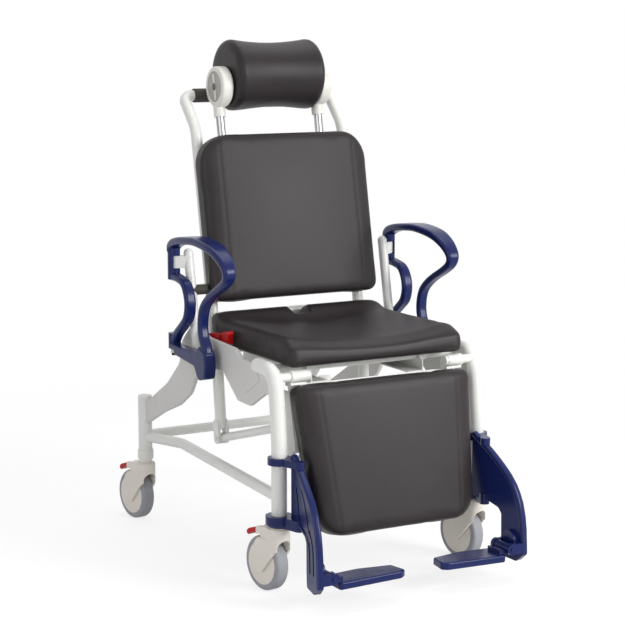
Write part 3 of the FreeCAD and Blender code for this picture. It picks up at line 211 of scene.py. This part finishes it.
# Armrests, footrest blades and footplates: injection moulded in dark blue, glossy and slightly rippled.
# Hands polish the tops of the arms, and feet leave fine pale scratches on the plates.
def blue_moulding():
    ripple = mottle(40.0, 1.0)
    scratch = between(mottle(900.0, 2.0, 0.5, (0.06, 1.0, 1.0)), 0.68, 0.76) * between(height(), 0.30, 0.07)
    tone = blend(mottle(8.0, 2.0), screen(18, 28, 80), screen(26, 38, 94))
    return {"Base Color": blend(scratch * 0.25, tone, screen(84, 96, 146)),
            "Roughness": 0.22 + ripple * 0.06 + scratch * 0.15,
            "Normal": relief(ripple, 0.0004)}


blue_plastic = finish("blue_plastic", blue_moulding, Specular_IOR_Level=0.24)
dress(blue_plastic, "armrest", "footrest", "footplate")


# Bright parts: the plated headrest rods and gas spring rod slide in their guides and stay polished.
# Fine drawing marks run along them; the pins and bolts are blackened steel with an oily look.
def plated_steel():
    drawn = mottle(1400.0, 3.0, 0.6, (1.0, 1.0, 0.03))
    return {"Base Color": blend(drawn, screen(150, 150, 152), screen(182, 182, 184)),
            "Roughness": 0.10 + drawn * 0.10}


def black_oxide():
    pits = mottle(900.0, 4.0, 0.6)
    return {"Base Color": blend(pits, screen(24, 24, 26), screen(44, 43, 44)),
            "Roughness": 0.32 + pits * 0.22, "Normal": relief(pits, 0.00006)}


plating = finish("plated_steel", plated_steel, Metallic=1.0)
dress(plating, "headrest_rods", "gas_rod")
black_steel = finish("black_steel", black_oxide, Metallic=0.6)
dress(black_steel, "pivot_bolts", "armrest_pins")


# Small mouldings: white cheeks of the headrest, rod guides and post caps, snapped or screwed in place.
# The dial in each cheek is grey, with a paler grip rib and a dark screw head in its middle.
# Rubber pieces: the ribbed push grip and the stop buffer, in dark grey.
def white_moulding():
    grain = cells(1500.0)
    drift = mottle(14.0, 2.0)
    return {"Base Color": blend(drift, screen(226, 224, 217), screen(238, 236, 230)),
            "Roughness": 0.36 + grain * 0.10, "Normal": relief(grain, 0.0001)}


RIB_X = (0.1494, 0.1505)
SCREW_X = (0.1512, 0.1517)
GRIP_RIBS = 1250.0


def sideways():
    """Metres to the sitter's left of the middle."""
    return Tone.node("SeparateXYZ", None, {0: place()}, "X")


def dial_face():
    """The rib and the screw head stand further out than the disc, so the distance picks the colour."""
    outward = Tone.node("Math", {"operation": "ABSOLUTE"}, {0: sideways()})
    grain = cells(1500.0)
    disc = blend(mottle(40.0), screen(168, 166, 160), screen(182, 180, 174))
    rib = blend(between(outward, *RIB_X), disc, screen(224, 222, 215))
    return {"Base Color": blend(between(outward, *SCREW_X), rib, screen(92, 90, 88)),
            "Roughness": 0.38 + grain * 0.10, "Normal": relief(grain, 0.0001)}


def ribbed_rubber():
    ribs = Tone.node("Math", {"operation": "SINE"}, {0: sideways() * GRIP_RIBS})
    grain = mottle(800.0, 3.0)
    return {"Base Color": blend(grain, screen(48, 46, 43), screen(70, 67, 61)),
            "Roughness": 0.58 + grain * 0.18, "Normal": relief(ribs * 0.5 + grain * 0.25, 0.0008)}


white_plastic = finish("white_plastic", white_moulding)
dress(white_plastic, "headrest_bracket", "post_caps", "rod_sockets")
dress(finish("dial_plastic", dial_face), "headrest_knobs")
dark_rubber = finish("dark_rubber", ribbed_rubber)
dress(dark_rubber, "push_grip", "stop_buffer")


# Back board: a compact laminate sheet screwed to the back tubes, dark with a faint fibre.
# It carries the back pad and is seen only from behind.
def laminate():
    fibre = mottle(260.0, 5.0, 0.65, (1.0, 1.0, 0.2))
    return {"Base Color": blend(fibre, screen(40, 39, 40), screen(62, 60, 60)),
            "Roughness": 0.46 + fibre * 0.16, "Normal": relief(fibre, 0.0001)}


dress(finish("dark_laminate", laminate), "back_board")


# Back pad: integral-skin foam moulded on the board, charcoal with a soft leather grain.
# The skin turns over a crisp front edge, a sloped border runs up each side, and the panel between swells.
MIDDLE = 0.04708            # depth of the chair's middle in the frame that the pads are drawn in
VOXEL = 0.0045
PUFF = 0.002                # the furthest that the foam swells its skin
REAR_DRAW = 0.005           # how far a pad's sides draw in behind and in front
FRONT_DRAW = 0.0105
BORDER = 0.046
BORDER_FALL = 0.010
CHANNEL_DEPTH = 0.0010
CHANNEL_WIDTH = 0.004
SMOOTHINGS = 2


def foam_skin():
    grain = cells(1100.0)
    crease = mottle(300.0, 4.0, 0.6)
    rub = between(mottle(6.0, 3.0), 0.35, 0.7)
    tone = blend(rub, screen(42, 37, 38), screen(50, 45, 46))
    return {"Base Color": blend(crease * 0.4, tone, screen(33, 29, 30)),
            "Roughness": 0.36 + grain * 0.08 + rub * 0.04,
            "Normal": relief(grain * 0.7 + crease * 0.5, 0.00015)}


pad_skin = finish("pad_skin", foam_skin, Specular_IOR_Level=0.22)


def rounded_outline(corners, radii, count):
    """Even points round a closed outline of straight runs joined by an arc of its radius at each corner."""
    corners = np.array(corners, float)
    runs = []
    for i, radius in enumerate(radii):
        back, ahead = corners[i - 1] - corners[i], corners[(i + 1) % len(corners)] - corners[i]
        back, ahead = back / np.hypot(*back), ahead / np.hypot(*ahead)
        half = np.arccos(np.clip(back @ ahead, -1, 1)) / 2
        middle = (back + ahead) / np.hypot(*(back + ahead))
        centre = corners[i] + middle * radius / sin(half)
        start = corners[i] + back * radius / tan(half) - centre
        end = corners[i] + ahead * radius / tan(half) - centre
        first = np.arctan2(start[1], start[0])
        sweep = (np.arctan2(end[1], end[0]) - first + np.pi) % (2 * np.pi) - np.pi
        angle = first + sweep * np.linspace(0, 1, 25)
        runs.append(centre + radius * np.stack([np.cos(angle), np.sin(angle)], -1))
    line = np.concatenate(runs + [runs[0][:1]])
    gone = np.concatenate([[0], np.cumsum(np.hypot(*np.diff(line, axis=0).T))])
    steps = np.linspace(0, gone[-1], count, endpoint=False)
    return np.stack([np.interp(steps, gone, line[:, 0]), np.interp(steps, gone, line[:, 1])], -1)


def ring_mesh(name, rings):
    """Closed skin over rows of rings, an array of rows x points x 3; the end rows are points of closure."""
    rows, count = rings.shape[:2]
    row, column = np.meshgrid(np.arange(rows - 1), np.arange(count), indexing="ij")
    beside = (column + 1) % count
    quads = np.stack([row * count + column, row * count + beside,
                      (row + 1) * count + beside, (row + 1) * count + column], -1).reshape(-1, 4)
    mesh = bpy.data.meshes.new(name)
    mesh.from_pydata(rings.reshape(-1, 3).tolist(), [], quads.tolist())
    made = bpy.data.objects.new(name, mesh)
    scene.collection.objects.link(made)
    return made


def points_of(mesh):
    flat = np.empty(len(mesh.vertices) * 3, np.float32)
    mesh.vertices.foreach_get("co", flat)
    return flat.reshape(-1, 3).astype(float)


def smoothed(mesh, points, rounds):
    """Points drawn halfway to the mean of their neighbours, as often as rounds says."""
    ends = np.empty(len(mesh.edges) * 2, np.int64)
    mesh.edges.foreach_get("vertices", ends)
    a, b = ends.reshape(-1, 2).T
    share = np.bincount(np.concatenate([a, b]), minlength=len(points))[:, None]
    for turn in range(rounds):
        total = np.zeros_like(points)
        np.add.at(total, a, points[b])
        np.add.at(total, b, points[a])
        points = (points + total / share) / 2
    return points


def stuffed(made, voxel, swell, rounds):
    """Even skin from a voxel remesh, blown up as cloth without gravity by at most swell, then smoothed."""
    remesh = made.modifiers.new("even", "REMESH")
    remesh.mode = "VOXEL"
    remesh.voxel_size = voxel
    skin = bpy.data.meshes.new_from_object(made.evaluated_get(bpy.context.evaluated_depsgraph_get()))
    made.modifiers.clear()
    made.data = skin
    rest = points_of(skin)
    cloth = made.modifiers.new("foam", "CLOTH")
    cloth.settings.quality = 4
    cloth.settings.mass = 0.4
    cloth.settings.tension_stiffness = cloth.settings.compression_stiffness = 40
    cloth.settings.use_pressure = True
    cloth.settings.uniform_pressure_force = 4
    cloth.settings.effector_weights.gravity = 0
    for step in range(1, 21):
        scene.frame_set(step)
    blown = points_of(made.evaluated_get(bpy.context.evaluated_depsgraph_get()).data)
    scene.frame_set(1)
    made.modifiers.clear()
    shift = blown - rest
    far = np.linalg.norm(shift, axis=1, keepdims=True)
    rest = rest + shift * np.minimum(1, swell / np.maximum(far, 1e-9))
    return smoothed(skin, rest, rounds)


def settle(made, points, body, replaced):
    """Last steps of a pad: its points, one subdivision, its skin, and the CAD solid it stands for."""
    made.data.vertices.foreach_set("co", points.astype(np.float32).ravel())
    made.data.polygons.foreach_set("use_smooth", np.ones(len(made.data.polygons), bool))
    made.data.update()
    made.data.materials.clear()
    made.data.materials.append(pad_skin)
    finer = made.modifiers.new("finer", "SUBSURF")
    finer.levels = finer.render_levels = 1
    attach(made, body)
    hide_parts(replaced)


def leaned(points, lean, y, z):
    """Points of an upright pad, leaned back about X and set on a pivot at y, z."""
    c, s = cos(radians(lean)), sin(radians(lean))
    return np.stack([points[:, 0], y + points[:, 1] * c + points[:, 2] * s,
                     z - points[:, 1] * s + points[:, 2] * c], -1)


def pad_rings(corners, radii, back, thick):
    """Rings from the middle of the back over the side to the middle of the front.

    The side draws in behind and in front, each time on a quarter ellipse, with a straight run between them;
    the rings behind and before it shrink to the middle."""
    edge = rounded_outline(corners, radii, 300)
    along = np.roll(edge, -1, 0) - np.roll(edge, 1, 0)
    inward = np.stack([-along[:, 1], along[:, 0]], -1) / np.hypot(*along.T)[:, None]
    middle = np.array(corners, float).mean(0)
    turn = np.linspace(0, np.pi / 2, 13)
    insets = np.concatenate([REAR_DRAW * (1 - np.sin(turn)), FRONT_DRAW * (1 - np.cos(turn))])
    depths = np.concatenate([0.25 * (1 - np.cos(turn)), 0.76 + 0.24 * np.sin(turn)]) * thick
    sides = edge[None] + inward[None] * insets[:, None, None]
    shrink = np.linspace(1, 0, 46)
    behind = middle + (sides[0] - middle) * shrink[::-1][:-1, None, None]
    before = middle + (sides[-1] - middle) * shrink[1:, None, None]
    flat = np.concatenate([behind, sides, before])
    depth = np.concatenate([np.zeros(len(behind)), depths, np.full(len(before), thick)])
    return np.stack([flat[..., 0], back - np.broadcast_to(depth[:, None], flat.shape[:2]), flat[..., 1]], -1)


def swollen(points, corners, back, thick, rise):
    """Front of a pad: the border falls off evenly to each side, and the panel between them swells.

    The swelling is rise times 1 - share squared, where the share runs from 0 in the middle to 1 at its foot.
    A fine channel follows that foot, and up and down the pad the swelling falls to a half at the ends."""
    (low_x, low_z), (high_x, high_z) = corners[1], corners[2]
    foot = low_x + (high_x - low_x) * (points[:, 2] - low_z) / (high_z - low_z) - BORDER
    share = np.abs(points[:, 0]) / foot
    up = (points[:, 2] - (low_z + high_z) / 2) / ((high_z - low_z) / 2)
    swell = rise * np.clip(1 - share ** 2, 0, None) * (1 - 0.5 * up ** 2)
    beyond = (share - 1) * foot
    channel = CHANNEL_DEPTH * np.exp(-(beyond / CHANNEL_WIDTH) ** 2)
    channel = channel + BORDER_FALL * np.clip(beyond / BORDER, 0, 1)
    face = np.clip((back - points[:, 1]) / thick - 0.6, 0, 0.3) / 0.3
    return points - np.stack([np.zeros(len(points)), face * (swell - channel), np.zeros(len(points))], -1)


BACK_LEAN = 10.9
BACK_Y = 0.1525 - MIDDLE
BACK_Z = 0.455
BOARD_GAP = 0.0003
back_face, back_thick, back_rise = -0.0195, 0.0555, 0.008
back_corners = [(-0.229, 0.139), (0.229, 0.139), (0.229, 0.539), (-0.229, 0.539)]
back_radii = [0.026, 0.026, 0.072, 0.072]
back_pad = ring_mesh("back_cushion", pad_rings(back_corners, back_radii, back_face, back_thick))
skin = stuffed(back_pad, VOXEL, PUFF, SMOOTHINGS)
skin = swollen(skin, back_corners, back_face, back_thick, back_rise)
skin[:, 1] = np.minimum(skin[:, 1], back_face - BOARD_GAP)
settle(back_pad, leaned(skin, BACK_LEAN, BACK_Y, BACK_Z), "back", "back_pad")


# Legrest pad: the same foam, moulded on the hinged board, narrower at the foot with large lower corners.
# It has the same crisp edge and the same sloped borders as the back pad.
LEG_LEAN = 11.4
KNEE_Y = -0.252 - MIDDLE
KNEE_Z = 0.486
leg_face, leg_thick, leg_rise = 0.020, 0.0645, 0.005
leg_corners = [(-0.204, -0.362), (0.204, -0.362), (0.229, -0.021), (-0.229, -0.021)]
leg_radii = [0.062, 0.062, 0.020, 0.020]
leg_pad = ring_mesh("legrest_cushion", pad_rings(leg_corners, leg_radii, leg_face, leg_thick))
skin = stuffed(leg_pad, VOXEL, PUFF, SMOOTHINGS)
skin = swollen(skin, leg_corners, leg_face, leg_thick, leg_rise)
skin[:, 1] = np.minimum(skin[:, 1], leg_face - BOARD_GAP)
settle(leg_pad, leaned(skin, LEG_LEAN, KNEE_Y, KNEE_Z), "legrest", "legrest_pad")


# Seat pad: one foam moulding on the seat frame, dished, with a rolled front edge and a raised rear rim.
# A notch in the middle of the rear rim leaves a way in from behind.
SEAT_HALF = 0.2115          # half width where the sides begin to round over
SIDE_ROUND = 0.016
SEAT_DRAW = 0.011
SEAT_REAR, SEAT_FRONT = 0.146, -0.264
SEAT_LOW, SEAT_TOP, SEAT_RIM = 0.505, 0.566, 0.5785
DISH = 0.018
NOTCH_FLOOR = 0.557
NOTCH_HALF = 0.016
NOTCH_SLOPE = 1.76
NOTCH_FRONT, NOTCH_RUN = 0.091, 0.008


def seat_rings():
    """Rings across X: a rounded outline in Y and Z that draws in at the sides on a quarter ellipse.

    The top dips by the dish times (1 - share squared) to the power 1.2; the rear rim stays level."""
    shares = np.array([0, 0.35, 0.65, 0.85, 0.95, 1.0])
    turn = np.linspace(0, np.pi / 2, 10)
    wide = np.concatenate([[0, 0.04, 0.08, 0.115, 0.15, 0.175, 0.195], SEAT_HALF + SIDE_ROUND * np.sin(turn)])
    inset = np.concatenate([np.zeros(7), SEAT_DRAW * (1 - np.cos(turn))])
    dish = DISH * np.clip(1 - (wide / SEAT_HALF) ** 2, 0, 1) ** 1.2
    half = list(zip(wide, inset, dish))
    rings = []
    for x, i, d in [(-x, i, d) for x, i, d in half[:0:-1]] + half:
        rear, front = SEAT_REAR - i, SEAT_FRONT + i
        low, top, rim = SEAT_LOW + i * 0.4, SEAT_TOP - i - d, SEAT_RIM - i
        high = top - low
        bend = high / (SEAT_TOP - SEAT_LOW)
        outline = [(rear - 0.003, low), (rear, rim - 0.002), (rear - 0.032, rim), (rear - 0.07, top - 0.001),
                   (-0.04, top - 0.002), (front + 0.044, top - 0.001), (front + 0.005, low + high * 0.74),
                   (front, low + high * 0.25), (front + 0.008, low)]
        radii = [0.008 * bend, 0.009, 0.024, 0.12, 0.2, 0.044, 0.014 * bend, 0.012 * bend, 0.008 * bend]
        line = rounded_outline(outline, radii, 220)
        rings.append(np.stack([np.full(220, x), line[:, 0] - MIDDLE, line[:, 1]], -1))
    rings = np.array(rings)
    ends = []
    for end in (rings[0], rings[-1]):
        ends.append(end.mean(0) + (end - end.mean(0)) * (1 - shares[:, None, None]))
    return np.concatenate([ends[0][:0:-1], rings, ends[1][1:]])


seat_pad = ring_mesh("seat_cushion", seat_rings())
skin = stuffed(seat_pad, VOXEL, PUFF, SMOOTHINGS)
notch = NOTCH_FLOOR + NOTCH_SLOPE * np.clip(np.abs(skin[:, 0]) - NOTCH_HALF, 0, None)
deep = np.clip((skin[:, 1] + MIDDLE - NOTCH_FRONT) / NOTCH_RUN, 0, 1)
skin[:, 2] = np.where(skin[:, 2] > notch, skin[:, 2] + (notch - skin[:, 2]) * deep, skin[:, 2])
skin[:, 2] = np.maximum(skin[:, 2], SEAT_LOW - 0.0005)
settle(seat_pad, skin, "base", "seat_pad")


# Headrest roll: a waisted foam roll on a plastic core, carried between the two cheeks.
# Its lower back is cut flat, and it has the pads' skin, tight and without seams.
ROLL_Y, ROLL_Z, TILT_Z = -0.015, 0.687, 0.660
ROLL_HALF, ROLL_TIP = 0.1172, 0.014
ROLL_WAIST, ROLL_SWELL = 0.0787, 0.008
ROLL_FLAT, ROLL_CUT = 0.0312, 39
ROLL_VOXEL, ROLL_PUFF = 0.004, 0.0012


def flat_back(z):
    """Furthest back the roll may reach: the flat behind the tilt axle, or more above a rising line."""
    return ROLL_Y + np.maximum(ROLL_FLAT, (z - TILT_Z) / tan(radians(ROLL_CUT)))


def roll_rings():
    """Rings across X whose radius swells from the waist as x squared, with rounded ends."""
    half, tip = ROLL_HALF, ROLL_TIP
    x = np.linspace(-half + tip, half - tip, 61)
    radius = ROLL_WAIST + ROLL_SWELL * (x / (half - tip)) ** 2
    turn = np.linspace(0, np.pi / 2, 9)[1:]
    right_x, right_r = half - tip + tip * np.sin(turn), radius[-1] - tip * (1 - np.cos(turn))
    closing = np.linspace(1, 0, 14)[1:]
    x = np.concatenate([-half * np.ones(13), -right_x[::-1], x, right_x, half * np.ones(13)])
    last = right_r[-1]
    radius = np.concatenate([last * closing[::-1], right_r[::-1], radius, right_r, last * closing])
    angle = np.linspace(0, 2 * np.pi, 160, endpoint=False)
    z = ROLL_Z + radius[:, None] * np.sin(angle)
    y = np.minimum(ROLL_Y + radius[:, None] * np.cos(angle), flat_back(z))
    return np.stack([np.broadcast_to(x[:, None], y.shape), y, z], -1)


roll = ring_mesh("headrest_cushion", roll_rings())
skin = stuffed(roll, ROLL_VOXEL, ROLL_PUFF, SMOOTHINGS)
skin[:, 1] = np.minimum(skin[:, 1], flat_back(skin[:, 2]) + 0.0005)
settle(roll, leaned(skin, BACK_LEAN, BACK_Y, BACK_Z), "neck_roll", "headrest_roll")


# Studio: a pale floor that keeps the chair's shadow, white all round, and three soft lamps.
# The camera stands in front of the sitter's right, a little above the armrests.
FADE = (1.1, 2.4)           # distance over which the floor goes over into white


def shown():
    """1 for rays from the camera, from gloss and through glass, which see the plain white surroundings."""
    return (Tone.node("LightPath", out="Is Camera Ray") + Tone.node("LightPath", out="Is Glossy Ray")
            + Tone.node("LightPath", out="Is Transmission Ray"))


def floor_finish():
    """Pale diffuse floor; to the rays that see it, it glows, and it is wholly white past the fade."""
    made = bpy.data.materials.new("pale_floor")
    made.use_nodes = True
    Tone.tree = made.node_tree
    made.node_tree.nodes.clear()
    away = Tone.node("VectorMath", {"operation": "LENGTH"}, {0: place()}, "Value")
    plain = Tone.node("BsdfDiffuse", None, {"Color": (0.80, 0.80, 0.80, 1.0)})
    shadow = Tone.node("BsdfDiffuse", None, {"Color": (0.32, 0.32, 0.32, 1.0)})
    glow = Tone.node("Emission", None, {"Color": (1.0, 1.0, 1.0, 1.0), "Strength": 0.76})
    white = Tone.node("Emission", None, {"Color": (1.0, 1.0, 1.0, 1.0), "Strength": 1.0})
    near = Tone.node("AddShader", None, {0: shadow, 1: glow})
    seen = Tone.node("MixShader", None, {0: between(away, *FADE), 1: near, 2: white})
    whole = Tone.node("MixShader", None, {0: shown(), 1: plain, 2: seen})
    Tone.node("OutputMaterial", None, {"Surface": whole})
    return made


def studio_world():
    world = bpy.data.worlds.new("studio")
    world.use_nodes = True
    Tone.tree = world.node_tree
    world.node_tree.nodes.clear()
    soft = Tone.node("Background", None, {"Color": (0.97, 0.98, 1.0, 1.0), "Strength": 0.42})
    white = Tone.node("Background", None, {"Color": (1.0, 1.0, 1.0, 1.0), "Strength": 1.0})
    whole = Tone.node("MixShader", None, {0: shown(), 1: soft, 2: white})
    Tone.node("OutputWorld", None, {"Surface": whole})
    return world


def lamp(name, place_at, aim, size, power):
    light = bpy.data.lights.new(name, "AREA")
    light.size = size
    light.energy = power
    made = bpy.data.objects.new(name, light)
    made.location = place_at
    made.rotation_euler = (aim - made.location).to_track_quat("-Z", "Y").to_euler()
    scene.collection.objects.link(made)


scene.world = studio_world()
ground = bpy.data.meshes.new("floor")
ground.from_pydata([(-12, -12, 0), (12, -12, 0), (12, 12, 0), (-12, 12, 0)], [], [(0, 1, 2, 3)])
ground.materials.append(floor_finish())
floor = bpy.data.objects.new("floor", ground)
scene.collection.objects.link(floor)

target = Vector((-0.0268, -MIDDLE, 0.5805))
lamp("key", (1.9, -3.5, 1.9), target, 1.8, 128)
lamp("fill", (-3.2, -1.6, 1.6), target, 2.5, 26)
lamp("top", (0.4, 0.4, 3.4), target, 2.2, 26)

lens = bpy.data.cameras.new("camera")
lens.lens = 107.54
lens.sensor_width = 36.0
camera = bpy.data.objects.new("camera", lens)
camera.location = (-2.1777, -3.8500, 1.2615)
camera.rotation_euler = (target - camera.location).to_track_quat("-Z", "Y").to_euler()
scene.collection.objects.link(camera)
scene.camera = camera
